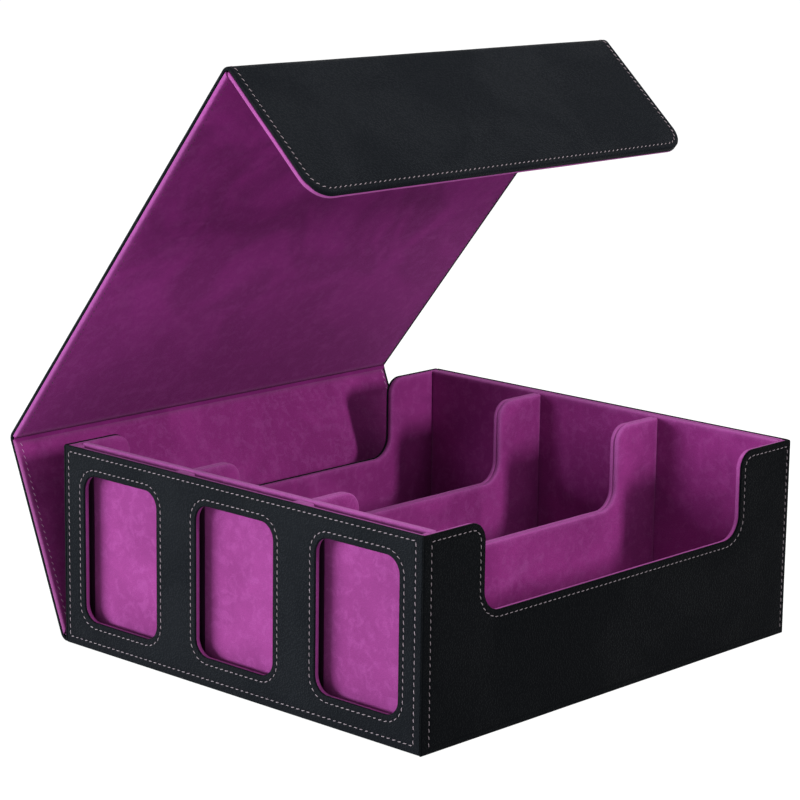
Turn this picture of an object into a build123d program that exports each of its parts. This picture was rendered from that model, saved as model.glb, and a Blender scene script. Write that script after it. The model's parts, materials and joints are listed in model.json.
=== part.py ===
from build123d import *
import math
import os

# Three-row trading card box with a wrap-round lid, in millimetres.
# X runs along the card rows (the window end is -X), -Y is the front, +Z is up.
# The origin is the middle of the footprint, on the table.

# ---- the box: outside sizes -------------------------------------------------
BOX_LENGTH = 300.0
BOX_DEPTH = 268.0
BOX_HEIGHT = 112.0

# ---- sheet thicknesses ------------------------------------------------------
LEATHER = 1.2
WALL_BOARD = 2.4
BASE_BOARD = 2.4
LINING = 0.8
DIVIDER_BOARD = 2.2
BACKING_BOARD = 3.2
FAR_END_BOARD = 2.3
FAR_END_GAP = 0.3

# ---- U-shaped notch in the front wall, back wall and dividers ---------------
EAR_WIDTH = 45.0
NOTCH_DEPTH = 48.0
EAR_RADIUS = 10.0
NOTCH_RADIUS = 12.0
DIVIDER_DROP = 0.6

# ---- display slots and windows ----------------------------------------------
ROW_COUNT = 3
SLOT_GAP = 4.8
SPACER_WIDTH = 11.4
SLOT_SILL = 2.0
WINDOW_LAP = 9.5
WINDOW_BOTTOM_RAIL = 16.0
WINDOW_TOP_RAIL = 14.0
WINDOW_RADIUS = 9.0

# ---- the lid ----------------------------------------------------------------
LID_BOARD = 2.4
LID_SIDE_INSET = 1.5
LID_GAP = 0.4
FLAP_LENGTH = 85.0
FLAP_RADIUS = 14.0
FLAP_TIP_GAP = 0.4
CREASE_GAP = 0.3
CREASE_START = 1.0
BACK_LEAN = 21.9
TOP_TURN = 60.8
FLAP_TURN = 91.0

# ---- closing magnets --------------------------------------------------------
MAGNET_RADIUS = 6.0
MAGNET_THICKNESS = 1.5
MAGNET_DROP = 32.0
MAGNET_CLEARANCE = 0.1

# ---- for the modelling only -------------------------------------------------
OVERCUT = 1.0
SAME_PLACE = 1e-6

# ---- worked out from the sizes above ----------------------------------------
WALL = LEATHER + WALL_BOARD + LINING
PLY = DIVIDER_BOARD + LINING
DIVIDER = 2 * PLY
BACKING = BACKING_BOARD + 2 * LINING
FAR_END = FAR_END_BOARD + 2 * LINING
BASE_TOP = LEATHER + BASE_BOARD
FLOOR = BASE_TOP + LINING
HALF_LENGTH = BOX_LENGTH / 2
HALF_DEPTH = BOX_DEPTH / 2
NOTCH_HALF = HALF_LENGTH - EAR_WIDTH
NOTCH_FLOOR = BOX_HEIGHT - NOTCH_DEPTH

ROWS_FRONT = -HALF_DEPTH + WALL
ROWS_BACK = HALF_DEPTH - WALL
ROW_WIDTH = (ROWS_BACK - ROWS_FRONT - (ROW_COUNT - 1) * DIVIDER) / ROW_COUNT
ROW_PITCH = ROW_WIDTH + DIVIDER
SLOT_NEAR = -HALF_LENGTH + WALL
SLOT_FAR = SLOT_NEAR + SLOT_GAP
ROWS_NEAR = SLOT_FAR + BACKING
FAR_WALL_FACE = HALF_LENGTH - WALL
ROWS_FAR = FAR_WALL_FACE - FAR_END_GAP - FAR_END
SLOT_WIDTH = ROW_PITCH - SPACER_WIDTH
SLOT_FLOOR = FLOOR + SLOT_SILL
WINDOW_WIDTH = SLOT_WIDTH - 2 * WINDOW_LAP
WINDOW_HEIGHT = BOX_HEIGHT - WINDOW_BOTTOM_RAIL - WINDOW_TOP_RAIL
WINDOW_MIDDLE = WINDOW_BOTTOM_RAIL + WINDOW_HEIGHT / 2

# Each panel of the lid turns on the middle of its leather.
LID_INSIDE = LEATHER / 2 + LID_BOARD + LINING
LID_WIDTH = BOX_LENGTH - 2 * LID_SIDE_INSET
FLAP_LEAN_IN = FLAP_LENGTH * math.sin(math.radians(FLAP_TURN - 90))
HINGE_Y = HALF_DEPTH + LID_GAP + LID_INSIDE
HINGE_Z = LEATHER / 2
BACK_LENGTH = BOX_HEIGHT + LID_GAP + LID_INSIDE - HINGE_Z
TOP_LENGTH = HINGE_Y + HALF_DEPTH + FLAP_TIP_GAP + FLAP_LEAN_IN + LID_INSIDE
BACK_ANGLE = 90 - BACK_LEAN
TOP_ANGLE = BACK_ANGLE + TOP_TURN
FLAP_ANGLE = TOP_ANGLE + FLAP_TURN
MAGNET_X = HALF_LENGTH - EAR_WIDTH / 2
MAGNET_Z = BOX_HEIGHT - MAGNET_DROP
FLAP_MAGNET_Y = HINGE_Z + BACK_LENGTH - MAGNET_Z

parts = {}


def block(x0, x1, y0, y1, z0, z1):
    """A square-edged plate between two corners."""
    size = Box(x1 - x0, y1 - y0, z1 - z0, align=(Align.MIN, Align.MIN, Align.MIN))
    return Pos(x0, y0, z0) * size


def rounded(face, x, y, radius):
    """Round the two corners of a face that lie at (-x, y) and (+x, y)."""
    near = SAME_PLACE
    picked = [v for v in face.vertices() if abs(abs(v.X) - x) < near and abs(v.Y - y) < near]
    return fillet(picked, radius)


def notched_face(x0, x1, low, top, inset):
    """Side view of a wall with the U-shaped notch, its free edge drawn in by inset."""
    half = NOTCH_HALF + inset
    floor = NOTCH_FLOOR - inset
    wall = Pos((x0 + x1) / 2, (low + top) / 2) * Rectangle(x1 - x0, top - low)
    cut = Pos(0, (floor + top + OVERCUT) / 2) * Rectangle(2 * half, top + OVERCUT - floor)
    face = rounded(wall - cut, half, floor, NOTCH_RADIUS + inset)
    return rounded(face, half, top, EAR_RADIUS - inset)


def along_y(face, y_a, y_b):
    """Stand a side view up in the XZ plane and give it thickness from one Y to the other."""
    low, high = sorted((y_a, y_b))
    return extrude(Plane((0, high, 0), x_dir=(1, 0, 0), z_dir=(0, -1, 0)) * face, high - low)


def along_x(face, x0, x1):
    """Stand an end view up in the YZ plane and give it thickness from x0 to x1."""
    return extrude(Plane((x0, 0, 0), x_dir=(0, 1, 0), z_dir=(1, 0, 0)) * face, x1 - x0)


def disc(x, y0, y1, z, radius):
    """A round plate that faces along Y."""
    return Pos(x, (y0 + y1) / 2, z) * Rot(90, 0, 0) * Cylinder(radius, y1 - y0)


def add_base():
    """Bottom leather with the bead that the lid hinges on, base board and floor lining."""
    skin = block(-HALF_LENGTH, HALF_LENGTH, -HALF_DEPTH, HALF_DEPTH, 0, LEATHER)
    strip = block(-LID_WIDTH / 2, LID_WIDTH / 2, HALF_DEPTH, HINGE_Y, 0, LEATHER)
    bead = Pos(0, HINGE_Y, HINGE_Z) * Rot(0, 90, 0) * Cylinder(LEATHER / 2, LID_WIDTH)
    parts["bottom_leather"] = skin + strip + bead
    x, y = HALF_LENGTH - LEATHER, HALF_DEPTH - LEATHER
    parts["base_board"] = block(-x, x, -y, y, LEATHER, BASE_TOP)
    parts["floor_lining"] = block(SLOT_NEAR, FAR_WALL_FACE, ROWS_FRONT, ROWS_BACK, BASE_TOP, FLOOR)


def add_notched_wall(name, side):
    """Front (side -1) or back (side +1) wall: leather, board and a lining turned over its edge."""
    outer = side * HALF_DEPTH
    board_face = outer - side * LEATHER
    lining_face = board_face - side * WALL_BOARD
    inner = lining_face - side * LINING
    long_face = notched_face(-HALF_LENGTH, HALF_LENGTH, LEATHER, BOX_HEIGHT, 0)
    parts[name + "_leather"] = along_y(long_face, outer, board_face)
    x = HALF_LENGTH - LEATHER
    core = notched_face(-x, x, BASE_TOP, BOX_HEIGHT - LINING, LINING)
    board = along_y(core, board_face, lining_face)
    full = notched_face(-x, x, BASE_TOP, BOX_HEIGHT, 0)
    parts[name + "_lining"] = along_y(full, board_face, inner) - board
    parts[name + "_board"] = board


def add_front_magnets():
    """Two discs let into the front board behind the leather."""
    face = -HALF_DEPTH + LEATHER
    wide = MAGNET_RADIUS + MAGNET_CLEARANCE
    deep = MAGNET_THICKNESS + MAGNET_CLEARANCE
    spots = (-MAGNET_X, MAGNET_X)
    for x in spots:
        parts["front_board"] -= disc(x, face, face + deep, MAGNET_Z, wide)
    discs = [disc(x, face, face + MAGNET_THICKNESS, MAGNET_Z, MAGNET_RADIUS) for x in spots]
    parts["front_magnets"] = Compound(children=discs)


def row_middles():
    """Y of the middle of each card row, from front to back."""
    return [(i - (ROW_COUNT - 1) / 2) * ROW_PITCH for i in range(ROW_COUNT)]


def windowed_face(y, low, top, grow):
    """End view of the window wall, with its openings larger by grow all round."""
    face = Pos(0, (low + top) / 2) * Rectangle(2 * y, top - low)
    for middle in row_middles():
        size = (WINDOW_WIDTH + 2 * grow, WINDOW_HEIGHT + 2 * grow)
        face -= Pos(middle, WINDOW_MIDDLE) * RectangleRounded(*size, WINDOW_RADIUS + grow)
    return face


def add_window_wall():
    """The -X end: leather, board and lining with one window for each row."""
    outer = -HALF_LENGTH
    board_face = outer + LEATHER
    lining_face = board_face + WALL_BOARD
    y_skin = HALF_DEPTH - LEATHER
    y_core = ROWS_BACK
    skin = windowed_face(y_skin, LEATHER, BOX_HEIGHT, 0)
    parts["window_leather"] = along_x(skin, outer, board_face)
    core = windowed_face(y_core, BASE_TOP, BOX_HEIGHT - LINING, LINING)
    board = along_x(core, board_face, lining_face)
    full = windowed_face(y_core, BASE_TOP, BOX_HEIGHT, 0)
    parts["window_lining"] = along_x(full, board_face, SLOT_NEAR) - board
    parts["window_board"] = board


def add_display_slots():
    """Spacer strips that part the display slots, and the sill that cards stand on."""
    edges = [ROWS_FRONT]
    for middle in row_middles():
        edges += [middle - SLOT_WIDTH / 2, middle + SLOT_WIDTH / 2]
    edges.append(ROWS_BACK)
    pairs = zip(edges[0::2], edges[1::2])
    strips = [block(SLOT_NEAR, SLOT_FAR, a, b, SLOT_FLOOR, BOX_HEIGHT - LINING) for a, b in pairs]
    parts["slot_spacers"] = Compound(children=strips)
    parts["slot_sill"] = block(SLOT_NEAR, SLOT_FAR, ROWS_FRONT, ROWS_BACK, FLOOR, SLOT_FLOOR)


def add_end_board(name, x0, x1):
    """A tray end board in a lining sleeve that is folded over its top edge."""
    sleeve = block(x0, x1, ROWS_FRONT, ROWS_BACK, FLOOR, BOX_HEIGHT)
    core = block(x0 + LINING, x1 - LINING, ROWS_FRONT, ROWS_BACK, FLOOR, BOX_HEIGHT - LINING)
    parts[name + "_board"] = core
    parts[name + "_lining"] = sleeve - core


def add_far_wall():
    """The plain +X end: leather, board and lining."""
    board_face = HALF_LENGTH - LEATHER
    lining_face = board_face - WALL_BOARD
    y_skin = HALF_DEPTH - LEATHER
    y_core = ROWS_BACK
    parts["far_leather"] = block(board_face, HALF_LENGTH, -y_skin, y_skin, LEATHER, BOX_HEIGHT)
    board = block(lining_face, board_face, -y_core, y_core, BASE_TOP, BOX_HEIGHT - LINING)
    full = block(FAR_WALL_FACE, board_face, -y_core, y_core, BASE_TOP, BOX_HEIGHT)
    parts["far_board"] = board
    parts["far_lining"] = full - board


def add_dividers():
    """Between two rows, two lined boards back to back, with the same notch as the walls.

    Dividers are numbered from the front.
    """
    top = BOX_HEIGHT - DIVIDER_DROP
    core = notched_face(ROWS_NEAR, ROWS_FAR, FLOOR, top - LINING, LINING)
    full = notched_face(ROWS_NEAR, ROWS_FAR, FLOOR, top, 0)
    middles = row_middles()
    for i in range(ROW_COUNT - 1):
        middle = (middles[i] + middles[i + 1]) / 2
        for side, face in ((-1, "front"), (1, "back")):
            name = "divider_" + str(i + 1) + "_" + face
            board = along_y(core, middle, middle + side * DIVIDER_BOARD)
            ply = along_y(full, middle, middle + side * PLY)
            parts[name + "_board"] = board
            parts[name + "_lining"] = ply - board


def place(solid, hinge, angle):
    """Turn a panel drawn flat on the table, leather down, about its hinge line."""
    return Pos(0, hinge[0], hinge[1]) * Rot(angle, 0, 0) * solid


def beyond(hinge, angle, length):
    """The next hinge line, one panel length further on."""
    turn = math.radians(angle)
    return (hinge[0] + length * math.cos(turn), hinge[1] + length * math.sin(turn))


def flat_outline(length, half_width, inset, radius):
    """A panel seen flat, from its hinge at y 0, with its two far corners rounded if asked."""
    far = length - inset
    face = Pos(0, far / 2) * Rectangle(2 * (half_width - inset), far)
    return rounded(face, half_width - inset, far, radius - inset) if radius else face


def panel_profile(length, near, far, inset):
    """Long section of a lid board, chamfered at 45 degrees where it meets a crease."""
    low, high = LEATHER / 2, LID_INSIDE - inset
    rise = high - low
    y0 = CREASE_START + inset + (LEATHER / 2 if near else 0)
    y1 = length - inset - (CREASE_START + LEATHER / 2 if far else 0)
    near_top = y0 + (rise if near else 0)
    far_top = y1 - (rise if far else 0)
    return Polygon((y0, low), (y1, low), (far_top, high), (near_top, high), align=None)


def lid_solid(length, far_crease, inset, radius):
    """Board (inset one lining) or board with lining (inset 0) of one lid panel, laid flat."""
    half = LID_WIDTH / 2
    profile = panel_profile(length, True, far_crease, inset)
    long_block = extrude(Plane.YZ * profile, half - inset, both=True)
    if not radius:
        return long_block
    outline = flat_outline(length, half, inset, radius)
    return long_block & extrude(outline, LID_INSIDE)


def add_lid_panel(name, hinge, angle, length, far_crease, radius):
    """Leather, board and wrapped lining of one panel; the leather's far end is the next bead."""
    half = LID_WIDTH / 2
    bead = LEATHER / 2
    start = bead + CREASE_GAP
    outline = flat_outline(length, half, 0, radius)
    outline -= Pos(0, start / 2) * Rectangle(LID_WIDTH + 2 * OVERCUT, start)
    skin = Pos(0, 0, -bead) * extrude(outline, LEATHER)
    if far_crease:
        skin += Pos(0, length, 0) * Rot(0, 90, 0) * Cylinder(bead, LID_WIDTH)
    board = lid_solid(length, far_crease, LINING, radius)
    lining = lid_solid(length, far_crease, 0, radius) - board
    pocket = []
    if not far_crease:
        wide = MAGNET_RADIUS + MAGNET_CLEARANCE
        deep = MAGNET_THICKNESS + MAGNET_CLEARANCE
        for x in (-MAGNET_X, MAGNET_X):
            at = Pos(x, FLAP_MAGNET_Y, bead)
            board -= at * Cylinder(wide, deep, align=(Align.CENTER, Align.CENTER, Align.MIN))
            body = Cylinder(MAGNET_RADIUS, MAGNET_THICKNESS,
                            align=(Align.CENTER, Align.CENTER, Align.MIN))
            pocket.append(place(at * body, hinge, angle))
    parts[name + "_leather"] = place(skin, hinge, angle)
    parts[name + "_board"] = place(board, hinge, angle)
    parts[name + "_lining"] = place(lining, hinge, angle)
    if pocket:
        parts["flap_magnets"] = Compound(children=pocket)


def add_lid():
    """Back panel, top panel and front flap, each hinged on the leather of the one before."""
    back_hinge = (HINGE_Y, HINGE_Z)
    top_hinge = beyond(back_hinge, BACK_ANGLE, BACK_LENGTH)
    flap_hinge = beyond(top_hinge, TOP_ANGLE, TOP_LENGTH)
    add_lid_panel("lid_back", back_hinge, BACK_ANGLE, BACK_LENGTH, True, 0)
    add_lid_panel("lid_top", top_hinge, TOP_ANGLE, TOP_LENGTH, True, 0)
    add_lid_panel("lid_flap", flap_hinge, FLAP_ANGLE, FLAP_LENGTH, False, FLAP_RADIUS)
    print("back hinge line", round(back_hinge[0], 4), round(back_hinge[1], 4))
    print("top hinge line", round(top_hinge[0], 4), round(top_hinge[1], 4))
    print("flap hinge line", round(flap_hinge[0], 4), round(flap_hinge[1], 4))


add_base()
add_notched_wall("front", -1)
add_notched_wall("back", 1)
add_front_magnets()
add_window_wall()
add_display_slots()
add_end_board("display_backing", SLOT_FAR, ROWS_NEAR)
add_end_board("far_end", ROWS_FAR, ROWS_FAR + FAR_END)
add_far_wall()
add_dividers()
add_lid()

os.makedirs("parts", exist_ok=True)
for node, shape in parts.items():
    export_step(shape, "parts/" + node + ".step")
print(len(parts), "nodes written")
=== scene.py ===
import json
import math
import bmesh
import bpy
import numpy as np
from mathutils import Matrix


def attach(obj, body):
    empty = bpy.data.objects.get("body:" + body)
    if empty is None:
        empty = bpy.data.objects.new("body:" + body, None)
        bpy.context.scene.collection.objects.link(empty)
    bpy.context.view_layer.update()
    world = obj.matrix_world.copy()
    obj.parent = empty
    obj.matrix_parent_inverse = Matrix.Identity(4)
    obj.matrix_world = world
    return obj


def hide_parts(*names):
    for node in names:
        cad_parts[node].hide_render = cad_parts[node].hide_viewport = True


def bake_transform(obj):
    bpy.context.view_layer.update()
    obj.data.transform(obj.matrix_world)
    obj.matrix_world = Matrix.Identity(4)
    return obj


# Trading card box with a wrap-round lid: leather skins, suede linings and stitching around the
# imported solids. Sizes are metres; mm turns millimetres into them.

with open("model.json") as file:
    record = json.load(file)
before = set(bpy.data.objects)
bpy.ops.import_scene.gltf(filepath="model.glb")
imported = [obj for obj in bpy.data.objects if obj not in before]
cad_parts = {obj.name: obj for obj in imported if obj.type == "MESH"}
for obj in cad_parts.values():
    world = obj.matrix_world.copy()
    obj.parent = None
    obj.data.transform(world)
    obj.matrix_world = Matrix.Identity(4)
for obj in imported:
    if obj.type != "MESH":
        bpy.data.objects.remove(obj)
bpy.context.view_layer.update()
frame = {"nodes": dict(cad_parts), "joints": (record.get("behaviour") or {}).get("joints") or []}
mm = 0.001
dice = np.random.default_rng(7)
print("frame loaded:", len(frame["nodes"]), "solids")


def feed(tree, node, inputs):  # links what another node gives, sets what is a plain value
    for key, value in inputs.items():
        if isinstance(value, bpy.types.NodeSocket):
            tree.links.new(value, node.inputs[key])
        else:
            node.inputs[key].default_value = value


def add(tree, kind, inputs=None, **settings):  # one node, its settings and what feeds it
    made = tree.nodes.new(kind)
    for key, value in settings.items():
        setattr(made, key, value)
    feed(tree, made, inputs or {})
    return made


def maths(tree, what, a, b=0.0, clamp=False):  # one step of arithmetic on two numbers
    return add(tree, "ShaderNodeMath", {0: a, 1: b}, operation=what, use_clamp=clamp).outputs[0]


def times(tree, a, b, clamp=False):
    return maths(tree, "MULTIPLY", a, b, clamp)


def plus(tree, a, b, clamp=False):
    return maths(tree, "ADD", a, b, clamp)


def minus(tree, a, b, clamp=False):
    return maths(tree, "SUBTRACT", a, b, clamp)


def spread(tree, value, low, high, toLow=0.0, toHigh=1.0):  # low..high becomes toLow..toHigh
    ranged = {"Value": value, "From Min": low, "From Max": high, "To Min": toLow, "To Max": toHigh}
    return add(tree, "ShaderNodeMapRange", ranged, interpolation_type="SMOOTHSTEP").outputs[0]


def noise(tree, place, scale, detail=2.0, roughness=0.5, distortion=0.0):
    fed = {"Vector": place, "Scale": scale, "Detail": detail, "Roughness": roughness,
           "Distortion": distortion}
    return add(tree, "ShaderNodeTexNoise", fed).outputs[0]


def stretched(tree, place, scale, turn):  # the same place, squeezed along its own turned axes
    fed = {"Vector": place, "Scale": scale, "Rotation": turn}
    return add(tree, "ShaderNodeMapping", fed).outputs[0]


def blended(tree, share, a, b, how="MIX"):
    made = add(tree, "ShaderNodeMix", {0: share, 6: a, 7: b}, data_type="RGBA", blend_type=how)
    return made.outputs[2]


def newGroup(name, takes, gives):  # takes: name -> (socket kind, starting value), gives: name -> kind
    tree = bpy.data.node_groups.new(name, "ShaderNodeTree")
    for label, (kind, start) in takes.items():
        made = tree.interface.new_socket(label, in_out="INPUT", socket_type="NodeSocket" + kind)
        if start is not None:
            made.default_value = start
    for label, kind in gives.items():
        tree.interface.new_socket(label, in_out="OUTPUT", socket_type="NodeSocket" + kind)
    return tree, tree.nodes.new("NodeGroupInput").outputs, tree.nodes.new("NodeGroupOutput")


pile = dict(clouds=17.0, cloudShare=0.85, least=0.15, strokes=(26, 190, 60), strokesLie=(0.3, 0.5, 0.4),
            strokeShare=0.34, patches=22.0, marks=165.0, markShare=0.24, edgeShare=0.5,
            fibre=2300.0, grit=(0.82, 1.16), soft=420.0, softShare=0.5)


# Brushed nap: slow clouds where the pile lies over, faint strokes and marks, and short fibres.
# Colour = low pile mixed to mid pile by the clouds, then to raised pile by strokes and marks, then
# to the rim's colour by the edge, all times a fine grit.
def buildSuedeNap():
    takes = {"Place": ("Vector", None), "Edge": ("Float", 0.0), "Low": ("Color", (0, 0, 0, 1)),
             "Mid": ("Color", (0, 0, 0, 1)), "High": ("Color", (0, 0, 0, 1)),
             "Rim": ("Color", (0, 0, 0, 1)), "Clouds": ("Float", 1.0), "Marks": ("Float", 1.0)}
    tree, i, out = newGroup("suedeNap", takes, {"Color": "Color", "Height": "Float"})
    place = i["Place"]
    clouds = spread(tree, noise(tree, place, pile["clouds"], 3.0, 0.55, 0.9), 0.36, 0.66)
    strokes = noise(tree, stretched(tree, place, pile["strokes"], pile["strokesLie"]), 1.0, 2.0, 0.5, 0.5)
    strokes = spread(tree, strokes, 0.52, 0.8)
    strokes = times(tree, strokes, spread(tree, noise(tree, place, pile["patches"]), 0.45, 0.7))
    marks = spread(tree, noise(tree, place, pile["marks"], 4.0, 0.7, 0.6), 0.36, 0.68, -0.55, 1.0)
    fibre = noise(tree, place, pile["fibre"], 2.0, 0.7)
    share = times(tree, times(tree, clouds, pile["cloudShare"]), i["Clouds"])
    body = blended(tree, plus(tree, share, pile["least"], True), i["Low"], i["Mid"])
    lift = plus(tree, times(tree, strokes, pile["strokeShare"]), times(tree, marks, pile["markShare"]))
    body = blended(tree, times(tree, lift, i["Marks"], True), body, i["High"])
    body = blended(tree, times(tree, i["Edge"], pile["edgeShare"]), body, i["Rim"])
    grit = spread(tree, fibre, 0.25, 0.75, *pile["grit"])
    grey = add(tree, "ShaderNodeCombineColor", {0: grit, 1: grit, 2: grit}).outputs[0]
    soft = times(tree, noise(tree, place, pile["soft"], 2.0, 0.5), pile["softShare"])
    feed(tree, out, {"Color": blended(tree, 1.0, body, grey, "MULTIPLY"),
                     "Height": plus(tree, fibre, soft)})
    return tree


pebble = dict(warp=300.0, shift=0.0011, softness=0.4, dome=(0.12, 0.62), creases=(60, 95, 75),
              creasesLie=(0.2, 0.1, 0.5), creaseWidth=0.05, fine=2600.0, fineShare=0.35, patches=14.0)


# Pebbled grain: Height = rounded cell domes + fine grain - slow stretch creases. Fleck is 1 in the
# valleys between the cells, and Patch drifts slowly from 0 to 1.
def buildLeatherGrain():
    takes = {"Place": ("Vector", None), "Cells": ("Float", 1150.0), "Creases": ("Float", 0.3)}
    tree, i, out = newGroup("leatherGrain", takes, {"Height": "Float", "Fleck": "Float", "Patch": "Float"})
    place = i["Place"]
    warp = add(tree, "ShaderNodeTexNoise", {"Vector": place, "Scale": pebble["warp"]}).outputs[1]
    shift = add(tree, "ShaderNodeVectorMath", {0: warp, 1: (0.5, 0.5, 0.5)}, operation="SUBTRACT")
    shift = add(tree, "ShaderNodeVectorMath", {0: shift.outputs[0], "Scale": pebble["shift"]},
                operation="SCALE")
    moved = add(tree, "ShaderNodeVectorMath", {0: place, 1: shift.outputs[0]}).outputs[0]
    cells = add(tree, "ShaderNodeTexVoronoi",
                {"Vector": moved, "Scale": i["Cells"], "Smoothness": pebble["softness"]},
                feature="SMOOTH_F1").outputs[0]
    dome = spread(tree, cells, *pebble["dome"], 1.0, 0.0)
    creases = stretched(tree, place, pebble["creases"], pebble["creasesLie"])
    creases = maths(tree, "ABSOLUTE", minus(tree, noise(tree, creases, 1.0, 3.0, 0.6, 1.4), 0.5))
    creases = spread(tree, creases, 0.0, pebble["creaseWidth"], 1.0, 0.0)
    fine = times(tree, noise(tree, place, pebble["fine"], 2.0, 0.6), pebble["fineShare"])
    patches = noise(tree, place, pebble["patches"], 3.0, 0.6, 0.5)
    feed(tree, out, {"Height": minus(tree, plus(tree, dome, fine), times(tree, creases, i["Creases"])),
                     "Fleck": minus(tree, 1.0, dome, True),
                     "Patch": spread(tree, patches, 0.35, 0.65)})
    return tree


suedeNap = buildSuedeNap()
leatherGrain = buildLeatherGrain()


def newMaterial(name, **fixed):  # a Principled material; fixed sets what is the same all over it
    made = bpy.data.materials.new(name)
    made.use_nodes = True
    shader = made.node_tree.nodes["Principled BSDF"]
    for label, value in fixed.items():
        shader.inputs[label.replace("_", " ")].default_value = value
    return made, made.node_tree, shader


def attribute(tree, name, output):
    return add(tree, "ShaderNodeAttribute", attribute_name=name).outputs[output]


def bump(tree, height, strength, distance):
    fed = {"Height": height, "Strength": strength, "Distance": distance}
    return add(tree, "ShaderNodeBump", fed).outputs[0]


suede = dict(low=(0.190, 0.018, 0.138, 1), mid=(0.262, 0.028, 0.192, 1), high=(0.34, 0.075, 0.29, 1),
             rim=(0.36, 0.105, 0.325, 1), clouds=1.0, marks=1.0, bump=0.55, depth=0.00025)
# painted shade: a darker copy of the suede for the lid top's lining, darker still towards the crease where
# its stretch starts
shadedLidSuede = dict(suede, low=(0.140, 0.0105, 0.108, 1), mid=(0.245, 0.0195, 0.192, 1), marks=0.55,
                shadeRamp=(0.10, 0.34))
backSuede = dict(suede, rim=(0.17, 0.075, 0.155, 1))
# painted light: a paler, greener copy of the suede for the display backing, standing in for the cool side
# light and its sheen there
sideLitDisplaySuede = dict(suede, low=(0.200, 0.030, 0.155, 1), mid=(0.262, 0.043, 0.206, 1), clouds=0.9,
                    marks=1.25)
# painted shade: near-black suede for the strips behind the spacers, standing in for the dark slot gap seen
# through the windows
slotShadeSuede = dict(suede, low=(0.009, 0.0015, 0.008, 1), mid=(0.018, 0.003, 0.015, 1), marks=0.0,
                  rim=(0.03, 0.005, 0.025, 1))
# near-black copy of the suede for the hinge crease: pressed pile, and painted shade in the crease
pressedAndShadedCreaseSuede = dict(suede, low=(0.034, 0.004, 0.028, 1), mid=(0.052, 0.007, 0.043, 1), marks=0.1)
# painted shade: a darker copy of the suede for the other creases, its rim colour near black for the crease
# line
shadedOpenCreaseSuede = dict(suede, low=(0.150, 0.013, 0.114, 1), mid=(0.200, 0.018, 0.152, 1), marks=0.2,
                       rim=(0.006, 0.001, 0.005, 1))
sheen = dict(Sheen_Weight=0.08, Sheen_Roughness=0.45, Sheen_Tint=(1.0, 0.55, 0.92, 1))


def makeSuede(name, look):
    made, tree, shader = newMaterial(name, Roughness=0.92, Specular_IOR_Level=0.06, **sheen)
    fed = {"Place": attribute(tree, "place", 1), "Edge": attribute(tree, "edge", 2),
           "Low": look["low"], "Mid": look["mid"], "High": look["high"], "Rim": look["rim"],
           "Clouds": look["clouds"], "Marks": look["marks"]}
    if "shadeRamp" in look:  # painted shade: darker towards the start of this stretch, next to the crease
        length = add(tree, "ShaderNodeSeparateXYZ", {0: fed["Place"]}).outputs[1]
        fed["Clouds"] = spread(tree, length, *look["shadeRamp"], 0.05, 1.0)
    nap = add(tree, "ShaderNodeGroup", fed, node_tree=suedeNap)
    feed(tree, shader, {"Base Color": nap.outputs["Color"],
                        "Normal": bump(tree, nap.outputs["Height"], look["bump"], look["depth"])})
    return made


leather = dict(dark=(0.0043, 0.0054, 0.0073, 1), pale=(0.0088, 0.0106, 0.0136, 1), gloss=0.025,
               cells=1000.0, creases=0.25, bump=0.9, depth=0.00024, smooth=0.44, matt=0.54,
               pressed=0.6, base=0.6, patch=0.3, valley=0.7, valleyMatt=0.08)
# painted shade: a darker, less glossy copy of the leather for the front wall, standing in for the weaker
# light it gets
shadedFrontLeather = dict(leather, dark=(0.0012, 0.0016, 0.0022, 1), pale=(0.0026, 0.0032, 0.0042, 1),
                    gloss=0.020, bump=0.7)


# Leather: dark mixed to pale by base + patch - pressed edges and seams - valleys of the grain.
def makeLeather(name, look):
    made, tree, shader = newMaterial(name, Specular_IOR_Level=look["gloss"])
    fed = {"Place": attribute(tree, "place", 1), "Cells": look["cells"], "Creases": look["creases"]}
    grain = add(tree, "ShaderNodeGroup", fed, node_tree=leatherGrain)
    patches, valleys = grain.outputs["Patch"], grain.outputs["Fleck"]
    pressed = times(tree, attribute(tree, "edge", 2), look["pressed"])
    share = minus(tree, times(tree, patches, look["patch"]), pressed)
    share = minus(tree, plus(tree, share, look["base"]), times(tree, valleys, look["valley"]), True)
    rough = spread(tree, patches, 0.0, 1.0, look["matt"], look["smooth"])
    feed(tree, shader, {"Base Color": blended(tree, share, look["dark"], look["pale"]),
                        "Roughness": plus(tree, rough, times(tree, valleys, look["valleyMatt"])),
                        "Normal": bump(tree, grain.outputs["Height"], look["bump"], look["depth"])})
    return made


twist = dict(along=26.0, around=12.566, bump=0.6, depth=0.0001)


# Twisted thread: crown = half + half * sine of (along * u + around * v) on each stitch's own UV,
# so slanting bands, lighter on their crowns and darker in the grooves: painted shade on the twist.
def makeThread(name, pale, deep):
    made, tree, shader = newMaterial(name, Roughness=0.7, Specular_IOR_Level=0.3,
                                     Sheen_Weight=0.25, Sheen_Roughness=0.4)
    uv = add(tree, "ShaderNodeUVMap", uv_map="UVMap").outputs[0]
    u, v, _ = add(tree, "ShaderNodeSeparateXYZ", {0: uv}).outputs
    angle = plus(tree, times(tree, u, twist["along"]), times(tree, v, twist["around"]))
    crown = add(tree, "ShaderNodeMath", {0: maths(tree, "SINE", angle), 1: 0.5, 2: 0.5},
                operation="MULTIPLY_ADD").outputs[0]
    feed(tree, shader, {"Base Color": blended(tree, crown, deep, pale),
                        "Normal": bump(tree, crown, twist["bump"], twist["depth"])})
    return made


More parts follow.
